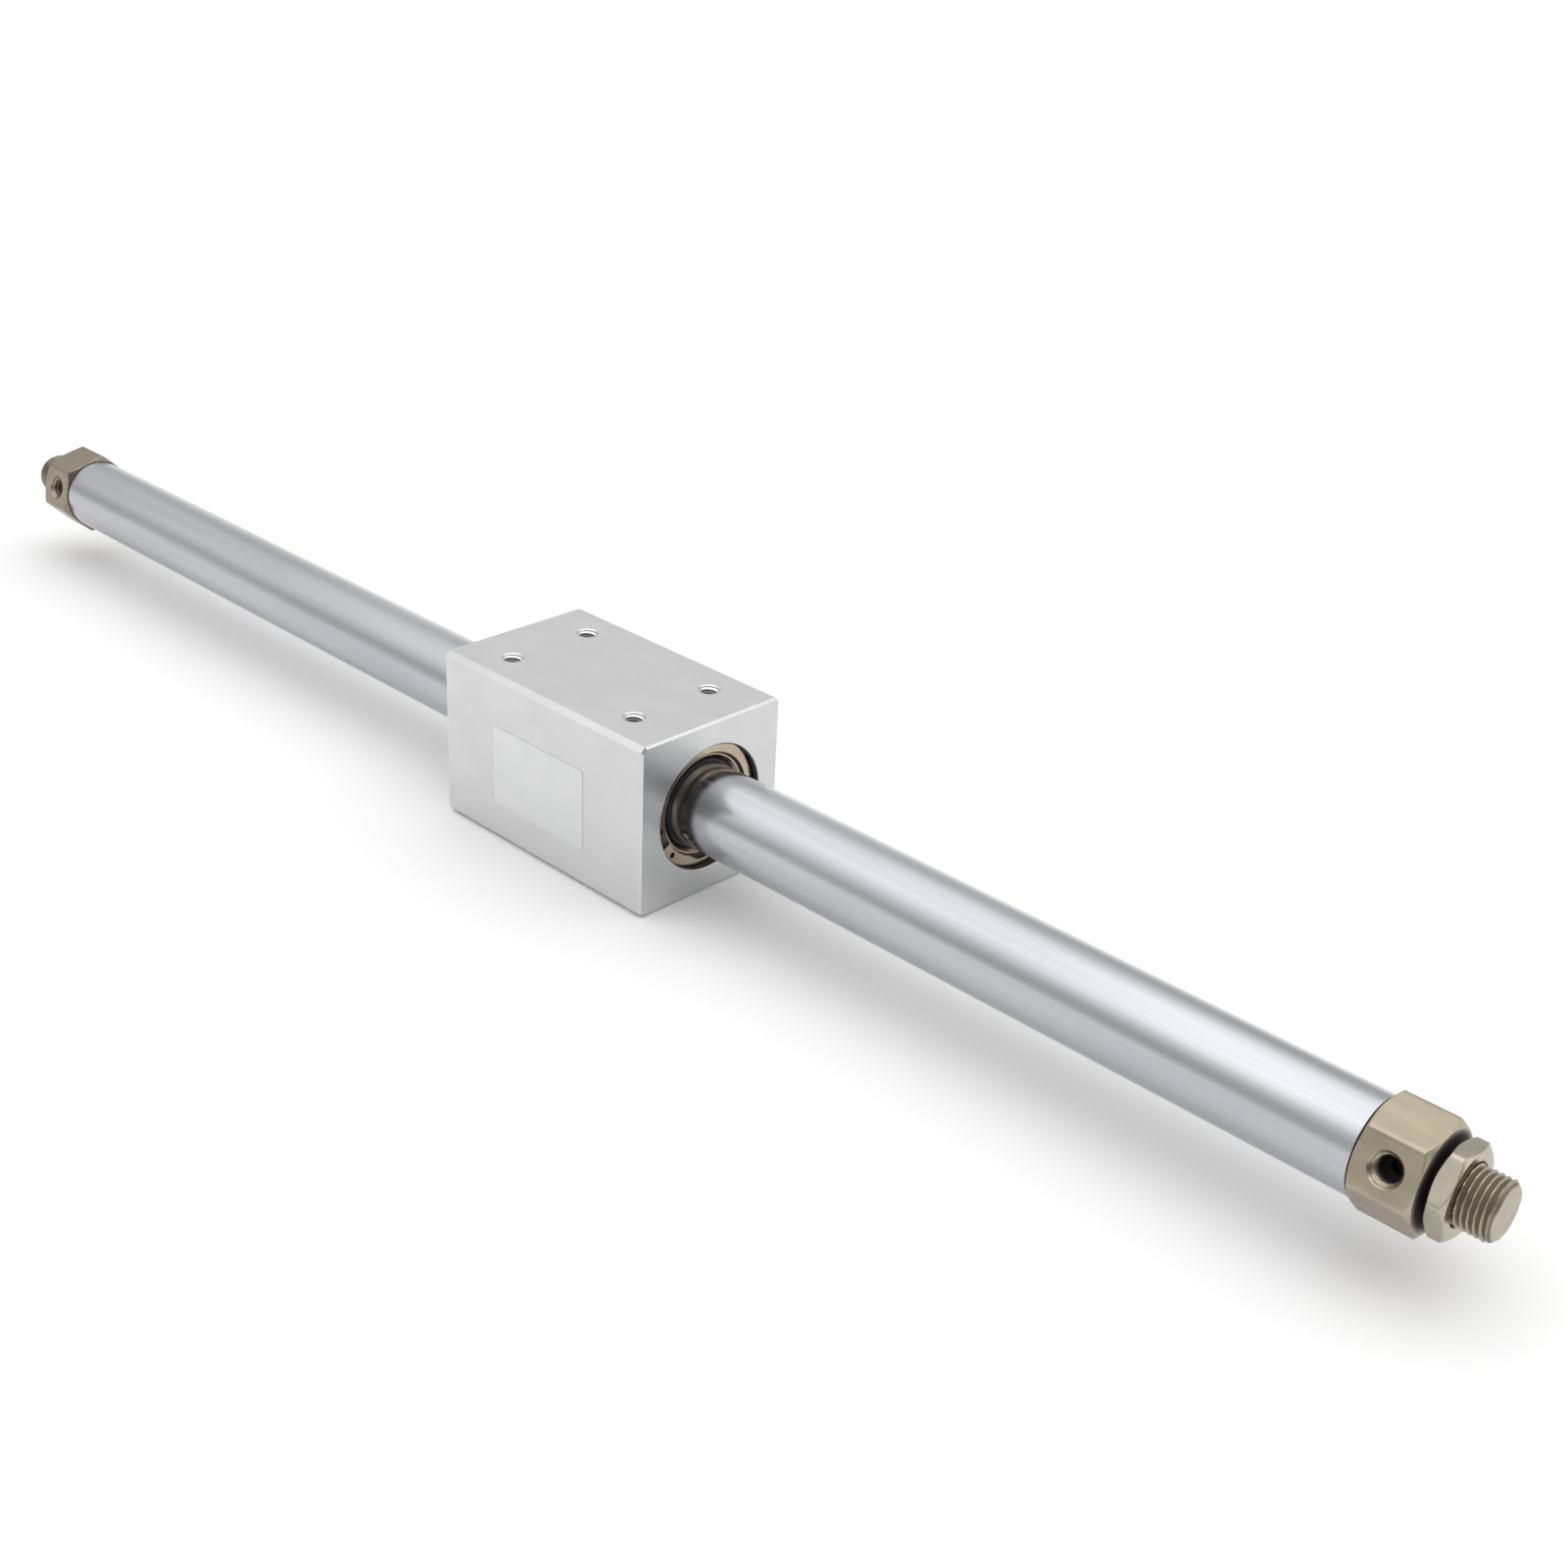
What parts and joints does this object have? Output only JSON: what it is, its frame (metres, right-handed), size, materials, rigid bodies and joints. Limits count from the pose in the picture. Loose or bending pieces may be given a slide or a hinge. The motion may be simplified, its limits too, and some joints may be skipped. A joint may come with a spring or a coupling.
{
  "type": "rodless pneumatic cylinder",
  "caption": "Magnetically coupled rodless pneumatic cylinder: a slider block that rides along a slim stainless tube with a hexagon head cover, stud and air port at each end.",
  "frame": {"origin": "on the tube's axis at its mid length, which is the centre of the whole part's box", "axes": "+X along the tube towards the end with the mounting nut, +Z out of the slider's face with the four threaded holes"},
  "size_m": [0.403, 0.0351, 0.035],
  "materials": {
    "stainless_tube": "drawn and polished stainless steel",
    "nickel_plated_cover": "machined, electroless nickel plated",
    "nickel_plated_brass": "nickel plated, bright",
    "anodised_aluminium": "satin clear anodised",
    "label_foil": "matt silver foil, bare",
    "nickel_plated_spring_steel": "nickel plated",
    "black_rubber": "moulded nitrile rubber",
    "oiled_felt": "oil-soaked felt",
    "turned_aluminium": "turned",
    "acetal": "turned plastic",
    "urethane": "cast urethane",
    "rolled_steel": "rolled steel",
    "nickel_plated_magnet": "nickel-plated sintered magnet",
    "stainless_shaft": "ground stainless steel"
  },
  "bodies": {
    "tube_assembly": {"cylinder_tube": "stainless_tube", "near_head_cover": "nickel_plated_cover", "far_head_cover": "nickel_plated_cover", "near_tube_gasket": "black_rubber", "far_tube_gasket": "black_rubber", "mounting_nut": "nickel_plated_brass"},
    "guide_rings": {"near_wear_ring": "acetal", "far_wear_ring": "acetal"},
    "slider": {"slider_body": "anodised_aluminium", "label_plate": "label_foil", "near_snap_ring": "nickel_plated_spring_steel", "far_snap_ring": "nickel_plated_spring_steel", "near_spacer_ring": "nickel_plated_spring_steel", "far_spacer_ring": "nickel_plated_spring_steel", "near_scraper": "black_rubber", "far_scraper": "black_rubber", "near_felt_ring": "oiled_felt", "far_felt_ring": "oiled_felt", "outer_magnet_1": "nickel_plated_magnet", "outer_magnet_2": "nickel_plated_magnet", "outer_magnet_3": "nickel_plated_magnet", "outer_yoke_1": "rolled_steel", "outer_yoke_2": "rolled_steel", "outer_yoke_3": "rolled_steel", "outer_yoke_4": "rolled_steel"},
    "piston": {"piston_shaft": "stainless_shaft", "near_piston": "turned_aluminium", "far_piston": "turned_aluminium", "near_piston_seal": "black_rubber", "far_piston_seal": "black_rubber", "near_piston_guide_ring": "acetal", "far_piston_guide_ring": "acetal", "near_bumper": "urethane", "far_bumper": "urethane", "inner_magnet_1": "nickel_plated_magnet", "inner_magnet_2": "nickel_plated_magnet", "inner_magnet_3": "nickel_plated_magnet", "inner_yoke_1": "rolled_steel", "inner_yoke_2": "rolled_steel", "inner_yoke_3": "rolled_steel", "inner_yoke_4": "rolled_steel"}
  },
  "joints": [
    {"name": "slider_slide", "type": "slide", "parent": "tube_assembly", "child": "guide_rings", "axis": [1, 0, 0], "range_m": [-0.16225, 0.13775]},
    {"name": "slider_turn", "type": "hinge", "parent": "guide_rings", "child": "slider", "pos_m": [0.01225, 0, 0], "axis": [1, 0, 0], "continuous": true},
    {"name": "piston_slide", "type": "slide", "parent": "tube_assembly", "child": "piston", "axis": [1, 0, 0], "range_m": [-0.16225, 0.13775]}
  ],
  "couplings": [
    {"joint": "piston_slide", "follows": "slider_slide", "ratio": 1}
  ]
}
